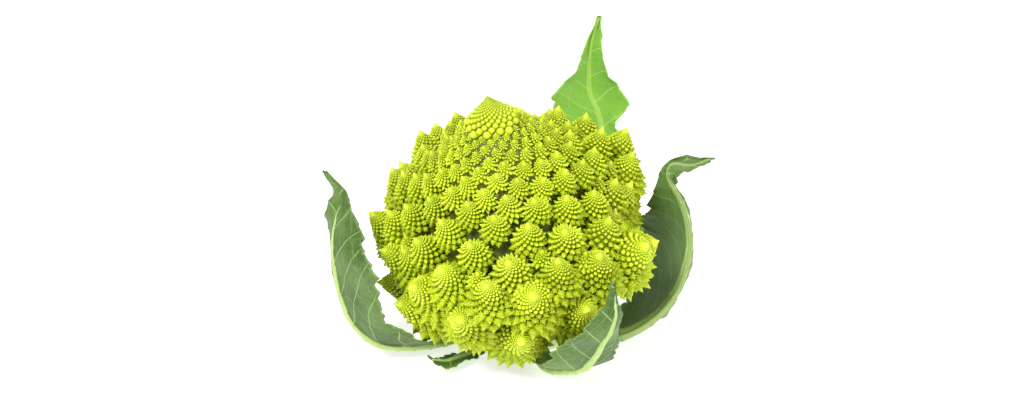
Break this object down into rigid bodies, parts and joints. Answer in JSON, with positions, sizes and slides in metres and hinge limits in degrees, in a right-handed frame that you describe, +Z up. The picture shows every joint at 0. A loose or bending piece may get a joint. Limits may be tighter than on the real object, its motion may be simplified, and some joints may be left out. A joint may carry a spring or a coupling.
{
  "type": "romanesco head",
  "caption": "Romanesco head: a lime green cone of spiralling pointed florets on a cut stalk, with wavy leaves left round it.",
  "frame": {"origin": "centre of the stalk's cut face, on the surface that the head stands on", "axes": "+Z up, -Y towards the side shown, +X to the right of that side"},
  "size_m": [0.189, 0.1766, 0.1464],
  "materials": {
    "curd": "lime green florets, paler at the tips and olive in the gaps, with a faint waxy bloom",
    "stalk": "pale green stalk, its cut face cream with a ring of fibres",
    "leaf": "dark green blade with a grey bloom and pale branching veins",
    "young_leaf": "bright green thin blade with yellow green veins"
  },
  "bodies": {
    "root": {"curd": "curd", "stalk": "stalk", "leaf_left": "leaf", "leaf_right": "leaf", "leaf_front": "leaf", "leaf_back": "young_leaf", "leaf_low": "leaf"}
  },
  "joints": []
}
